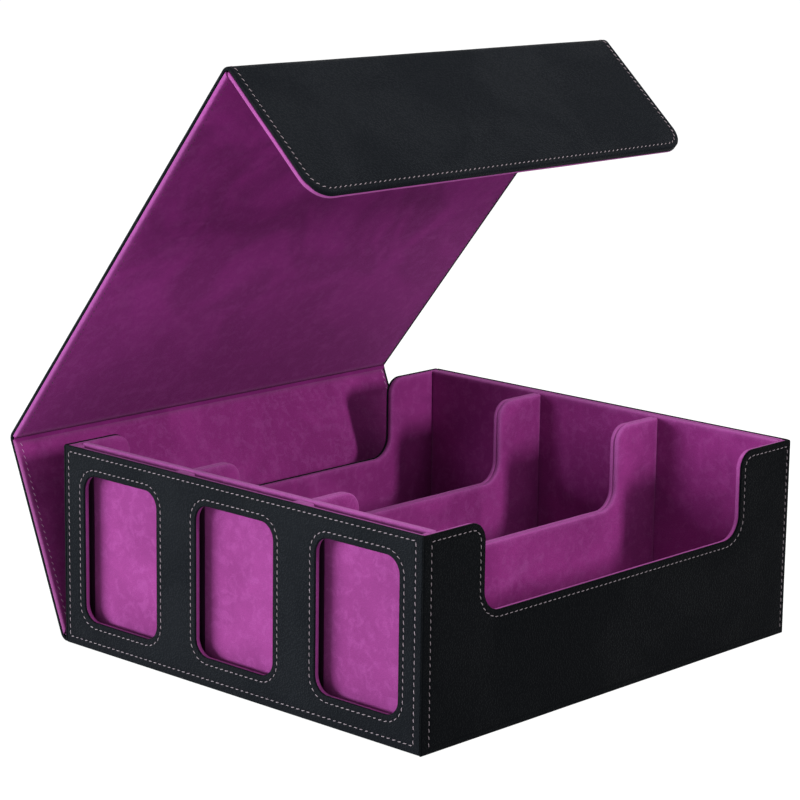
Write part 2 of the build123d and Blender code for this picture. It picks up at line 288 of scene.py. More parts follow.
# Boards and magnets inside the lining: mottled by slow and fine noise on Object space.
def makeHidden(name, pale, deep, scale, **fixed):
    made, tree, shader = newMaterial(name, **fixed)
    place = add(tree, "ShaderNodeTexCoord").outputs["Object"]
    share = noise(tree, place, scale, 4.0, 0.7)
    feed(tree, shader, {"Base Color": blended(tree, share, deep, pale),
                        "Roughness": spread(tree, noise(tree, place, scale * 3), 0.3, 0.7, 0.35, 0.6),
                        "Normal": bump(tree, share, 0.2, 0.0001)})
    return made


finishes = {
    "purple_lining": makeSuede("purpleSuede", suede),
    "black_leather": makeLeather("blackLeather", leather),
    "thread": makeThread("paleThread", (0.36, 0.30, 0.335, 1), (0.175, 0.13, 0.155, 1)),
    "greyboard": makeHidden("greyBoard", (0.34, 0.31, 0.26, 1), (0.24, 0.21, 0.18, 1), 900.0,
                            Specular_IOR_Level=0.2),
    "magnet": makeHidden("platedMagnet", (0.66, 0.66, 0.67, 1), (0.54, 0.54, 0.56, 1), 300.0,
                         Metallic=1.0),
}
shadedLidNap = makeSuede("shadedLidSuede", shadedLidSuede)
backNap = makeSuede("backSuede", backSuede)
sideLitDisplayNap = makeSuede("sideLitDisplaySuede", sideLitDisplaySuede)
pressedAndShadedCreaseNap = makeSuede("pressedAndShadedCreaseSuede", pressedAndShadedCreaseSuede)
shadedOpenCreaseNap = makeSuede("shadedOpenCreaseSuede", shadedOpenCreaseSuede)
slotShadeNap = makeSuede("slotShadeSuede", slotShadeSuede)
shadedFrontHide = makeLeather("shadedFrontLeather", shadedFrontLeather)
lilacThread = makeThread("lilacThread", (0.62, 0.40, 0.58, 1), (0.36, 0.18, 0.33, 1))
lidThread = makeThread("lidThread", (0.40, 0.33, 0.36, 1), (0.19, 0.14, 0.16, 1))
# painted shade: a darker copy of the thread for the front wall's stitches
shadedFrontThread = makeThread("shadedFrontThread", (0.25, 0.21, 0.235, 1), (0.115, 0.09, 0.10, 1))
# painted shade: a near-black copy of the lilac thread for the lid top's inner stitches
shadedPlumThread = makeThread("shadedPlumThread", (0.060, 0.008, 0.050, 1), (0.022, 0.003, 0.018, 1))
print("materials ready")


def unit(v):
    return v / np.linalg.norm(v, axis=-1, keepdims=True)


def gridQuads(rows, cols, wrapCols=False):  # corner numbers of every quad of a rows x cols grid
    r = np.arange(rows - 1)[:, None]
    c = np.arange(cols if wrapCols else cols - 1)[None, :]
    a, b = r * cols + c, r * cols + (c + 1) % cols
    return np.stack([a, b, b + cols, a + cols], -1).reshape(-1, 4)


def patch(points, quads, place, edge):  # one bit of surface, ready to be joined
    points, place = points.reshape(-1, 3), place.reshape(-1, 3)
    return points, place, np.broadcast_to(edge, len(points)), quads


# Two copies of a grid, one above the other, closed by a wall round the rim. Each copy is its points
# and their places; edge is given on the grid.
def closedSheet(first, second, edge):
    n = edge.size
    k = np.arange(n).reshape(edge.shape)
    rim = np.concatenate([k[0], k[1:, -1], k[-1, -2::-1], k[-2:0:-1, 0]])
    wall = np.stack([rim, np.roll(rim, -1), np.roll(rim, -1) + n, rim + n], 1)
    quads = gridQuads(*edge.shape)
    points, place = (np.concatenate([a.reshape(-1, 3), b.reshape(-1, 3)])
                     for a, b in zip(first, second))
    return patch(points, np.concatenate([quads, quads + n, wall]), place, np.tile(edge.ravel(), 2))


# Joins patches, merges points that fall in the same micron and drops the quads that this flattens.
def weld(patches):
    shift = np.cumsum([0] + [len(p[0]) for p in patches[:-1]])
    points, place, edge = (np.concatenate([p[k] for p in patches]) for k in (0, 1, 2))
    quads = np.concatenate([p[3] + s for p, s in zip(patches, shift)])
    key = np.round(points * 1e6).astype(np.int64)
    _, first, back = np.unique(key, axis=0, return_index=True, return_inverse=True)
    quads = back.reshape(-1)[quads]
    same = quads == np.roll(quads, -1, axis=1)
    crossed = (quads[:, 0] == quads[:, 2]) | (quads[:, 1] == quads[:, 3])
    count = same.sum(1)
    whole = quads[(count == 0) & ~crossed]
    tris = quads[(count == 1) & ~crossed]
    tris = tris[~same[(count == 1) & ~crossed]].reshape(-1, 3)
    return points[first], place[first], edge[first], whole.tolist() + tris.tolist()


def outwards(mesh, fillEnds=False):  # closes open ends if asked, and points every face outwards
    work = bmesh.new()
    work.from_mesh(mesh)
    if fillEnds:
        bmesh.ops.holes_fill(work, edges=[e for e in work.edges if e.is_boundary], sides=6)
    bmesh.ops.recalc_face_normals(work, faces=work.faces)
    work.to_mesh(mesh)
    work.free()
    mesh.shade_smooth()


def settle(name, mesh, slot, body, replaces, finish):  # the mesh becomes a piece of the part
    mesh.materials.append(finish or finishes[slot])
    piece = bpy.data.objects.new(name, mesh)
    bpy.context.scene.collection.objects.link(piece)
    if body:
        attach(piece, body)
    if replaces:
        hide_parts(*replaces)
    return piece


sharpest = math.radians(38.0)  # faces that meet at more than this keep a crisp edge


def makePiece(name, patches, slot, body=None, replaces=(), finish=None):
    points, place, edge, faces = weld(patches)
    mesh = bpy.data.meshes.new(name)
    mesh.from_pydata(points, [], faces)
    mesh.attributes.new("place", "FLOAT_VECTOR", "POINT").data.foreach_set("vector", place.ravel())
    mesh.attributes.new("edge", "FLOAT", "POINT").data.foreach_set("value", edge)
    outwards(mesh)
    mesh.set_sharp_from_angle(angle=sharpest)
    return settle(name, mesh, slot, body, replaces, finish)


# Straight runs joined by arcs. An arc point is the arc's centre plus the arm to its first point,
# turned by a share of the corner's turn.
def roundedChain(corners, radii, counts, arc):
    c = np.array(corners, float)
    r = np.maximum(np.array(radii, float), 1e-9)[:, None]
    into, out = unit(c[1:-1] - c[:-2]), unit(c[2:] - c[1:-1])
    turn = np.arctan2(into[:, 0] * out[:, 1] - into[:, 1] * out[:, 0], (into * out).sum(1))[:, None]
    begin = c[1:-1] - into * r * np.abs(np.tan(turn / 2))
    centre = begin + np.stack([-into[:, 1], into[:, 0]], 1) * np.sign(turn) * r
    arm = (begin - centre)[:, None]
    a = turn[:, None] * np.linspace(0, 1, arc + 1)[None, :, None]
    arcs = centre[:, None] + arm * np.cos(a) + arm[..., ::-1] * (-1, 1) * np.sin(a)
    ends = np.concatenate([c[:1], arcs[:, -1]])
    begins = np.concatenate([arcs[:, 0], c[-1:]])
    runs = [e + (b - e) * np.linspace(0, 1, n + 2)[1:-1, None]
            for e, b, n in zip(ends, begins, counts)]
    bits = [c[:1]] + [bit for pair in zip(runs, arcs) for bit in pair] + [runs[-1], c[-1:]]
    return np.concatenate(bits)


def runCounts(corners, step):  # how many points each straight run gets
    return (np.linalg.norm(np.diff(np.array(corners, float), axis=0), axis=1) / step).astype(int) + 1


def waver(p, size):  # a slow uneven drift, so that no hand-wrapped edge is ruler straight
    a = p @ np.array([61.0, 47.0, 53.0])
    b = p @ np.array([-113.0, 151.0, 97.0])
    return size * (0.6 * np.sin(a) + 0.4 * np.sin(b + 1.3))


wear = dict(fade=1.1 * mm, pull=0.8 * mm)


def worn(d):  # 1 on an outer edge, fading inwards
    return np.exp(-np.abs(d) / wear["fade"])


def pulled(d, at):  # the same, and also 1 where stitches pull the leather down
    return np.minimum(worn(d) + np.exp(-((np.abs(d) - at) / wear["pull"]) ** 2), 1.0)


slabMesh = dict(run=4 * mm, arc=10)


# A board standing on its straight side. Each row is the outline drawn in by its inset and lifted by
# its depth; the rows make the rim, and both faces are filled from the outline's upper chain
# straight down to matching points (feet) on its lower side.
def slab(shape, rows, put, feet, drift=0.0, mask=worn):
    corners, radii = shape(0.0)
    arc = slabMesh["arc"]
    counts = runCounts(corners, slabMesh["run"])
    base = roundedChain(corners, radii, counts, arc)
    length = np.concatenate([[0], np.cumsum(np.linalg.norm(np.diff(base, axis=0), axis=1))])
    mids = np.cumsum(np.array(counts[:-1]) + arc + 1) - arc // 2
    share = np.interp(length, length[[0, *mids, -1]], [0, *feet, 1])[:, None]
    rings, depths, insets = [], [], []
    for inset, depth in rows:
        chain = roundedChain(*shape(inset), counts, arc)
        foot = chain[0] + (chain[-1] - chain[0]) * share
        rings.append(np.concatenate([chain, foot[::-1]]))
        depths.append(np.full(len(chain) * 2, depth))
        insets.append(np.full(len(chain) * 2, inset if np.isscalar(inset) else inset[0]))
    flat, depth = np.stack(rings), np.stack(depths)
    n = len(base)
    points, place = put(flat, depth)
    if drift:
        lift = waver(points, drift)[..., None] * (put(flat, depth + 1)[0] - points)
        points = points + lift
    k = np.arange(n - 1)
    cap = np.stack([k, k + 1, 2 * n - 2 - k, 2 * n - 1 - k], 1)
    last = (len(rows) - 1) * 2 * n
    quads = np.concatenate([gridQuads(len(rows), 2 * n, True), cap, cap + last])
    return patch(points, quads, place, mask(np.stack(insets)).ravel())


# Places a flat drawing: origin + across * u + up * v + out * depth.
def flatOn(origin, across, up, out):
    o, a, u, n = (np.array(v, float) for v in (origin, across, up, out))

    def put(flat, depth):
        points = o + flat[..., :1] * a + flat[..., 1:] * u + depth[..., None] * n
        return points, points
    return put


# Section of a wrapped board edge: a quarter round of radius outer from the face at depth 0, the
# flat of the edge, and a quarter round of radius inner to the face at depth -thick.
def rimRows(thick, outer, inner, flatTo, steps=5):
    t = np.linspace(0, math.pi / 2, steps + 1)
    a = [(outer * (1 - math.sin(v)), -outer * (1 - math.cos(v))) for v in t]
    b = [(inner * (1 - math.cos(v)), -thick + inner * (1 - math.sin(v))) for v in t]
    return [(outer + flatTo, 0.0)] + a + b + [(inner + flatTo, -thick)]


box = dict(halfLength=150 * mm, halfDepth=134 * mm, height=112 * mm, leather=1.2 * mm,
           wall=4.4 * mm, baseTop=3.6 * mm, floor=4.4 * mm, skinFoot=0.05 * mm, backFoot=1.3 * mm,
           notchHalf=105 * mm, notchFloor=64 * mm, earRadius=10 * mm, notchRadius=12 * mm,
           skinDrift=0.06 * mm, liningDrift=0.1 * mm, crossDrift=0.07 * mm, lip=0.35 * mm,
           feet=(4 * mm, 3 * mm, 6 * mm))
skinEdge = dict(outer=0.6 * mm, inner=0.25 * mm, flatTo=0.3 * mm)  # rounds of a cut leather edge
liningEdge = dict(outer=0.7 * mm, inner=1.4 * mm, flatTo=2 * mm)  # rounds of a wrapped board edge
seam = dict(offset=3.6 * mm, width=0.55 * mm, depth=0.2 * mm,  # the furrow that stitches pull
            nearExtra=1.8 * mm, farExtra=-0.7 * mm, foot=3 * mm, tip=1.5 * mm)
furrowSteps = np.array([1.2, 0.75, 0.45, 0.2, 0, -0.2, -0.45, -0.75, -1.2]) * mm
inner = box["halfDepth"] - box["wall"]
top, floorTop = box["height"], box["floor"]
skinSide = box["halfDepth"] - box["leather"]
lining = box["wall"] - box["leather"]
xWay, yWay, zWay = np.eye(3)


def furrow(d, row=0.0):  # height at distance d: a dip shaped like a bell curve, along the row
    return -seam["depth"] * np.exp(-((d - row) / seam["width"]) ** 2)


def onSeam(d):
    return pulled(d, seam["offset"])


def skinRows(at=seam["offset"], **edge):  # section of a skin: stitched face, over its edge, back
    rows = [((at + d, 1.0), float(furrow(d))) for d in furrowSteps]
    return rows + rimRows(box["leather"], **dict(skinEdge, **edge))[1:]


# Outline with the U notch, drawn in by inset: ears round off, the notch's corners open. A sewn row
# also keeps the seam's own distance from each end. The feet stand clear of the ends and the notch,
# by the box's feet, in the row that is drawn in most.
def notched(x0, x1, z0, z1, most, tip=1.2 * mm):
    def shape(inset):
        inset, sewn = inset if isinstance(inset, tuple) else (inset, 0.0)
        half, low, high = box["notchHalf"] + inset, box["notchFloor"] - inset, z1 - inset
        near, far = x0 + inset + sewn * seam["nearExtra"], x1 - inset - sewn * seam["farExtra"]
        corners = [(near, z0 + inset), (near, high), (-half, high), (-half, low),
                   (half, low), (half, high), (far, high), (far, z0 + inset)]
        ear, hollow = box["earRadius"] - inset, box["notchRadius"] + inset
        return corners, [tip, ear, hollow, hollow, ear, tip]
    side = box["notchHalf"] + most
    end, close, wide = box["feet"]
    spots = np.array([x0 + most + end, -side - wide, -side - close,
                      side + close, side + wide, x1 - most - end])
    return shape, list((spots - x0 - most) / (x1 - x0 - 2 * most))


oblongFeet = [0.06, 0.94]  # shares of the lower side that stand under the two upper corners
leastRound = 0.05 * mm


def oblong(u0, u1, v0, v1, tip=1.0 * mm):  # a plain outline, drawn in by inset, and its feet
    def shape(inset):
        inset = inset[0] if isinstance(inset, tuple) else inset
        corners = [(u0 + inset, v0 + inset), (u0 + inset, v1 - inset), (u1 - inset, v1 - inset),
                   (u1 - inset, v0 + inset)]
        return corners, [max(tip - inset, leastRound)] * 2
    return shape, oblongFeet


def buildNotchedWall(name, side, foot, finish=None):  # side -1 is the front, +1 the back
    put = flatOn((0, side * box["halfDepth"], 0), xWay, zWay, side * yWay)
    rows = skinRows()
    shape, feet = notched(-box["halfLength"], box["halfLength"], foot, top, rows[0][0][0])
    skin = slab(shape, rows, put, feet, box["skinDrift"], onSeam)
    makePiece(name + "_skin", [skin], "black_leather", "box", [name + "_leather"], finish)
    x = box["halfLength"] - box["leather"]
    put = flatOn((0, side * skinSide, 0), xWay, zWay, side * yWay)
    rows = [(d + box["lip"], h) for d, h in rimRows(lining, **liningEdge)]
    shape, feet = notched(-x, x, box["baseTop"], top, rows[-1][0])
    rim = slab(shape, rows, put, feet, box["liningDrift"])
    makePiece(name + "_suede", [rim], "purple_lining", "box", [name + "_lining"])


# the front wall's skin takes the darker painted-shade copy of the leather
buildNotchedWall("front", -1, box["skinFoot"], shadedFrontHide)
buildNotchedWall("back", 1, box["backFoot"])
divider = dict(pitch=88.4 * mm, ply=3.0 * mm, drop=0.6 * mm, near=-136 * mm, far=141.4 * mm,
               apart=0.02 * mm, outer=0.9 * mm, inner=1.25 * mm, flatTo=2 * mm, tip=0.6 * mm,
               drift=0.09 * mm)


def buildDivider(number, middle):  # two lined boards back to back
    rows = rimRows(divider["ply"], divider["outer"], divider["inner"], divider["flatTo"])
    shape, feet = notched(divider["near"], divider["far"], floorTop, top - divider["drop"],
                          rows[-1][0], divider["tip"])
    for side, face in ((-1, "front"), (1, "back")):
        put = flatOn((0, middle + side * divider["apart"], 0), xWay, zWay, -side * yWay)
        ply = slab(shape, rows, put, feet, divider["drift"])
        name = "divider_%d_%s" % (number, face)
        makePiece(name + "_suede", [ply], "purple_lining", "box", [name + "_lining"])


buildDivider(1, -divider["pitch"] / 2)
buildDivider(2, divider["pitch"] / 2)
crossBoards = {  # lined boards across the box, from near (towards the windows) to far
    "display_backing": dict(near=-140.8 * mm, far=-136 * mm, foot=floorTop, head=top,
                            outer=1.5 * mm, inside=1.5 * mm, finish=sideLitDisplayNap),
    "far_end": dict(near=141.4 * mm, far=145.2 * mm, foot=floorTop, head=top,
                    outer=1.3 * mm, inside=1.2 * mm),
    "far": dict(near=145.6 * mm, far=148.8 * mm, foot=box["baseTop"], head=top - box["lip"],
                outer=1.2 * mm, inside=0.7 * mm)}


def buildCrossBoard(name, near, far, foot, head, outer, inside, finish=None):
    put = flatOn((near, 0, 0), yWay, zWay, -xWay)
    shape, feet = oblong(-inner, inner, foot, head)
    rows = rimRows(far - near, outer, inside, liningEdge["flatTo"])
    body = slab(shape, rows, put, feet, box["crossDrift"])
    makePiece(name + "_suede", [body], "purple_lining", "box", [name + "_lining"], finish)


for name, look in crossBoards.items():
    buildCrossBoard(name, **look)


floors = dict(hingeStart=124 * mm, under=0.2 * mm, sillTop=6.4 * mm, slotNear=-145.6 * mm,
              slotFar=-140.8 * mm)


def buildFarSkin():
    put = flatOn((box["halfLength"], 0, 0), yWay, zWay, xWay)
    shape, feet = oblong(-skinSide, skinSide, box["skinFoot"], top)
    skin = slab(shape, skinRows(), put, feet, box["skinDrift"], onSeam)
    makePiece("far_skin", [skin], "black_leather", "box", ["far_leather"])


floorReach = box["halfLength"] - box["wall"]
underReach = box["halfLength"] - box["leather"] - floors["under"]
layers = {  # the floor's lining, the leather underneath and the sill under the display slots
    "floor_suede": dict(solid="floor_lining", slot="purple_lining", z=floorTop, thick=0.8 * mm,
                        spans=(-floorReach, floorReach, -inner, inner),
                        outer=0.2 * mm, inside=0.2 * mm, flatTo=mm),
    "bottom_skin": dict(solid="bottom_leather", slot="black_leather", z=0, thick=box["leather"],
                        spans=(-underReach, underReach, floors["under"] - skinSide, floors["hingeStart"]),
                        outer=0.3 * mm, inside=0.2 * mm, flatTo=mm, up=-zWay),
    "sill_suede": dict(solid="slot_sill", slot="purple_lining", z=floors["sillTop"], thick=2 * mm,
                       spans=(floors["slotNear"], floors["slotFar"], -inner, inner),
                       outer=0.3 * mm, inside=0.2 * mm, flatTo=0.5 * mm)}


def buildLayer(name, solid, slot, z, thick, spans, outer, inside, flatTo, up=zWay):
    shape, feet = oblong(*spans)
    body = slab(shape, rimRows(thick, outer, inside, flatTo), flatOn((0, 0, z), xWay, yWay, up), feet)
    makePiece(name, [body], slot, "box", [solid])


buildFarSkin()
for name, look in layers.items():
    buildLayer(name, **look)
window = dict(middles=np.array([-1, 0, 1]) * divider["pitch"], z=57 * mm, halfWide=29 * mm,
              halfHigh=41 * mm, radius=9 * mm, frameSide=124.6 * mm, frameLow=8.5 * mm,
              frameTop=105.2 * mm, corner=12 * mm, setBack=0.45 * mm, outer=0.7 * mm,
              holeInner=1.2 * mm, holeFlat=1.5 * mm)
# the last five sizes place the near-black strips behind the spacers, which are painted shade
slots = dict(half=38.5 * mm, head=0.8 * mm, thick=4.8 * mm, edge=0.5 * mm,
             shadeWide=7.5 * mm, shadeHead=4 * mm, shadeAt=-141.3 * mm, shadeThick=0.45 * mm,
             shadeRound=(0.2 * mm, 0.1 * mm))


def buildSpacers():  # strips that part the display slots, each with a thin near-black strip behind it, painted shade for the slot gap
    edges = [-inner]
    for y in window["middles"]:
        edges += [y - slots["half"], y + slots["half"]]
    edges.append(inner)
    foot, edge = floors["sillTop"], slots["edge"]
    spacerPut = flatOn((floors["slotNear"], 0, 0), yWay, zWay, -xWay)
    shadePut = flatOn((slots["shadeAt"], 0, 0), yWay, zWay, -xWay)
    strips, shadeStrips = [], []
    for y0, y1 in zip(edges[0::2], edges[1::2]):
        shape, feet = oblong(y0, y1, foot, top - slots["head"])
        strips.append(slab(shape, rimRows(slots["thick"], edge, edge, edge), spacerPut, feet))
        y0, y1 = max(y0 - slots["shadeWide"], -inner), min(y1 + slots["shadeWide"], inner)
        shape, feet = oblong(y0, y1, foot, top - slots["shadeHead"])
        rows = rimRows(slots["shadeThick"], *slots["shadeRound"], edge)
        shadeStrips.append(slab(shape, rows, shadePut, feet))
    makePiece("spacer_suede", strips, "purple_lining", "box", ["slot_spacers"])
    makePiece("slot_shade_strips", shadeStrips, "purple_lining", "box", finish=slotShadeNap)


buildSpacers()


# Closed rounded rectangle. Corner points are centre + radius * (cos, sin), pushed out to the square
# corner by 1 / max(|cos|, |sin|) as square goes to 1; sides are evenly divided.
def roundLoop(y, z, halfWide, halfHigh, radius, square=0.0, arc=12, side=12):
    a = np.linspace(0, math.pi / 2, arc + 1)[None] + np.arange(4)[:, None] * math.pi / 2
    ray = np.stack([np.cos(a), np.sin(a)], -1)
    ray = ray * (1 + square * (1 / np.abs(ray).max(-1, keepdims=True) - 1))
    signs = np.array([(1, 1), (-1, 1), (-1, -1), (1, -1)])[:, None]
    arcs = signs * (halfWide - radius, halfHigh - radius) + radius * ray
    following = np.roll(arcs, -1, axis=0)[:, :1]
    t = np.linspace(0, 1, side + 2)[None, 1:-1, None]
    runs = arcs[:, -1:] + (following - arcs[:, -1:]) * t
    return np.concatenate([arcs, runs], 1).reshape(-1, 2) + (y, z)


def windowLoop(y, grow, **counts):  # the window's own outline, grown outwards
    return roundLoop(y, window["z"], window["halfWide"] + grow, window["halfHigh"] + grow,
                     window["radius"] + grow, **counts)


def ringPatch(flat, depth, edge, put):  # rings one after another, each with its depth and wear
    n = flat.shape[1]
    points, place = put(flat, np.repeat(depth[:, None], n, 1))
    return patch(points, gridQuads(len(flat), n, True), place, np.repeat(edge, n))


# The part of a wall round one window: rings run from the cell's border on the back face, round the
# hole's rim, to the border on the front face. Also gives the border.
def windowCell(y, y0, y1, rows, backDepth, put, mask):
    low, high = window["frameLow"], window["frameTop"]
    border = np.round(roundLoop((y0 + y1) / 2, (low + high) / 2, (y1 - y0) / 2,
                                (high - low) / 2, window["corner"], 1.0), 6)
    flat = np.stack([border] + [windowLoop(y, d) for d, _ in rows] + [border])
    depth = np.array([backDepth] + [h for _, h in rows] + [0.0])
    edge = mask(np.array([window["radius"]] + [d for d, _ in rows] + [window["radius"]]))
    return ringPatch(flat, depth, edge, put), border


# The frame round the cells: a loop through their outer border points, so that they weld, goes out
# in rectangles over the wall's edge and comes back on the back face.
def windowFrame(borders, rows, backDepth, outerBox, put):
    side, low, high = window["frameSide"], window["frameLow"], window["frameTop"]
    spots = np.concatenate(borders)
    ys = [np.unique(spots[np.abs(spots[:, 1] - z) < 1e-7, 0]) for z in (low, high)]
    zs = [np.unique(spots[np.abs(spots[:, 0] - y) < 1e-7, 1]) for y in (side, -side)]
    loop = np.concatenate([
        np.stack([ys[0], np.full(len(ys[0]), low)], 1)[:-1],
        np.stack([np.full(len(zs[0]), side), zs[0]], 1)[:-1],
        np.stack([ys[1], np.full(len(ys[1]), high)], 1)[:0:-1],
        np.stack([np.full(len(zs[1]), -side), zs[1]], 1)[:0:-1]])
    share = (loop - (-side, low)) / (2 * side, high - low)
    y0, y1, z0, z1 = outerBox
    flat, depth, edge = [loop], [0.0], [0.0]
    for offsets, h, rubbed in rows:
        a, b, c, d = np.broadcast_to(offsets, 4)
        flat.append(share * (y1 - b - y0 - a, z1 - d - z0 - c) + (y0 + a, z0 + c))
        depth.append(h)
        edge.append(rubbed)
    return ringPatch(np.stack(flat + [loop]), np.array(depth + [backDepth]), edge + [0.0], put)


def windowedWall(holeRows, edgeRows, backDepth, outerBox, put, mask=worn):
    side, half = window["frameSide"], divider["pitch"] / 2
    spans = zip(window["middles"], (-side, -half, half), (-half, half, side))
    cells, borders = zip(*[windowCell(*span, holeRows, backDepth, put, mask) for span in spans])
    return [*cells, windowFrame(borders, edgeRows, backDepth, outerBox, put)]


# Distances of the stitch rows from the window end's four edges, and from each window.
windowSeam = dict(front=4.4 * mm, back=2.9 * mm, low=4.3 * mm, top=3.3 * mm, round=3.5 * mm)


def buildWindowSkin():
    put = flatOn((-box["halfLength"], 0, 0), yWay, zWay, -xWay)
    rim = skinRows(windowSeam["round"], outer=window["outer"])
    hole = [(d[0] if isinstance(d, tuple) else d, h) for d, h in reversed(rim)]
    offsets = np.array([windowSeam[k] for k in ("front", "back", "low", "top")])
    rows = [(offsets + extra, float(furrow(extra)), float(pulled(extra + mm, mm)))
            for extra in furrowSteps]
    edge = rimRows(box["leather"], window["outer"], skinEdge["inner"], skinEdge["flatTo"])
    rows += [(d, h, worn(d)) for d, h in edge[1:]]
    skin = windowedWall(hole, rows, -box["leather"], (-skinSide, skinSide, box["skinFoot"], top),
                        put, lambda d: pulled(d, windowSeam["round"]))
    makePiece("window_skin", skin, "black_leather", "box", ["window_leather"])


def buildWindowLining():
    put = flatOn((-box["halfLength"] + box["leather"], 0, 0), yWay, zWay, -xWay)
    rim = rimRows(lining, window["outer"], window["holeInner"], window["holeFlat"])
    hole = [(d + window["setBack"], h) for d, h in reversed(rim)]
    rows = [(d, h, worn(d)) for d, h in rimRows(lining, **liningEdge)]
    outerBox = (-inner, inner, box["baseTop"], top - box["lip"])
    wall = windowedWall(hole, rows, -lining, outerBox, put)
    makePiece("window_suede", wall, "purple_lining", "box", ["window_lining"])


buildWindowSkin()
buildWindowLining()
print("box covered")

# The lid is a strip of leather that folds at three hinge lines, counted along its length.
hinges = np.array([j["pos_m"][1:] for j in frame["joints"]])
legs = hinges[1:] - hinges[:-1]
lid = dict(half=148.5 * mm, skinOut=1.25 * mm, skinIn=0.95 * mm, flapTurn=91.0, flapLength=86 * mm,
           flapRadius=14 * mm, bend=np.array([4.6, 4.0, 3.9]) * mm, fold=9 * mm, edge=1.0 * mm,
           rise=1.7 * mm, twist=1.7 * mm, skew=2.5 * mm, taper=3.2 * mm,  # how the soft lid hangs
           curl=np.array([0.35, 1.1]) * mm, curlFrom=5 * mm, curlOver=4 * mm, curlWide=0.45 * mm,
           backRound=0.75, drift=0.05 * mm, seam=3.2 * mm)
# Each stretch's turn from level (the bottom, then the three panels) and the length at which it
# starts, with the directions along it and into the box, and how far a fold reaches each way.
turns = [math.atan2(*leg[::-1]) for leg in legs]
turns = np.array([0.0, *turns, turns[-1] + math.radians(lid["flapTurn"])])
marks = np.array([0.0, *np.cumsum(np.linalg.norm(legs, axis=1))])
ends = [*marks[1:], marks[2] + lid["flapLength"]]
inward = np.stack([-np.sin(turns), np.cos(turns)], 1)
along = np.stack([np.cos(turns), np.sin(turns)], 1)
cuts = lid["bend"] * np.tan(np.diff(turns) / 2)
bodies = ["box", "lid_back", "lid_top", "lid_flap"]
tips = [0.0, 0.0, lid["flapRadius"]]  # corner radius of each panel's end, where it is a free edge


# Places a flat drawing (x, length along the lid) on the folded lid. Off the folds a point is
# hinge + length * direction + depth * inward. In a fold it lies on an arc of the bend radius:
# centre - (radius - depth) * inward, with inward turned by its share of the fold. The ridge rises
# a little, more at the window end, and the flap hangs askew, as the soft creases let them.
def lidPut(flat, depth):
    s = flat[..., 1]
    panel = (s[..., None] > marks).sum(-1)
    start = np.concatenate([[marks[0]], marks])[panel]
    corner = np.concatenate([hinges[:1], hinges])[panel]
    yz = corner + (s - start)[..., None] * along[panel] + depth[..., None] * inward[panel]
    for k in range(3):
        near = np.abs(s - marks[k]) < cuts[k]
        share = np.clip((s - marks[k] + cuts[k]) / (2 * cuts[k]), 0, 1)
        a = turns[k] + share * (turns[k + 1] - turns[k])
        centre = hinges[k] - cuts[k] * along[k] + lid["bend"][k] * inward[k]
        arm = np.stack([-np.sin(a), np.cos(a)], -1)
        bent = centre - (lid["bend"][k] - depth)[..., None] * arm
        yz = np.where(near[..., None], bent, yz)
    x = flat[..., 0]
    pull = np.interp(s, [marks[1], marks[2], ends[2]], [0, 1, 0])
    lift = pull * (lid["rise"] - lid["twist"] * x / lid["half"])
    drawn = lid["skew"] + lid["taper"] * (x / lid["half"] + 1) / 2
    skewed = x - drawn * np.clip((s - marks[2]) / lid["flapLength"], 0, 1)
    return np.stack([skewed, yz[..., 0], yz[..., 1] + lift], -1), np.stack([x, s, depth], -1)


def panelEnd(k, gap):  # panel k's end, less a gap before the next crease; the flap keeps its tip
    return ends[k] - (0.0 if tips[k] else gap)


def bendAt(piece):  # the piece's transform is baked into its mesh; it is not attached to a body
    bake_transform(piece)


# Spacing of the skin's grid: close lines in from the free edges, past the seam, then wider ones.
skinMesh = dict(margin=16 * mm, across=11 * mm, along=6 * mm, fold=17, edge=6, pastEdge=1.4 * mm,
                pastSeam=5.7 * mm, fine=np.arange(8.0, 15.0, 1.2) * mm)
edgeAngles = np.linspace(0, math.pi / 2, skinMesh["edge"])
edgeLevels = np.concatenate([lid["edge"] * (1 - np.cos(edgeAngles)), [skinMesh["pastEdge"]],
                             lid["seam"] - furrowSteps, [skinMesh["pastSeam"]], skinMesh["fine"]])


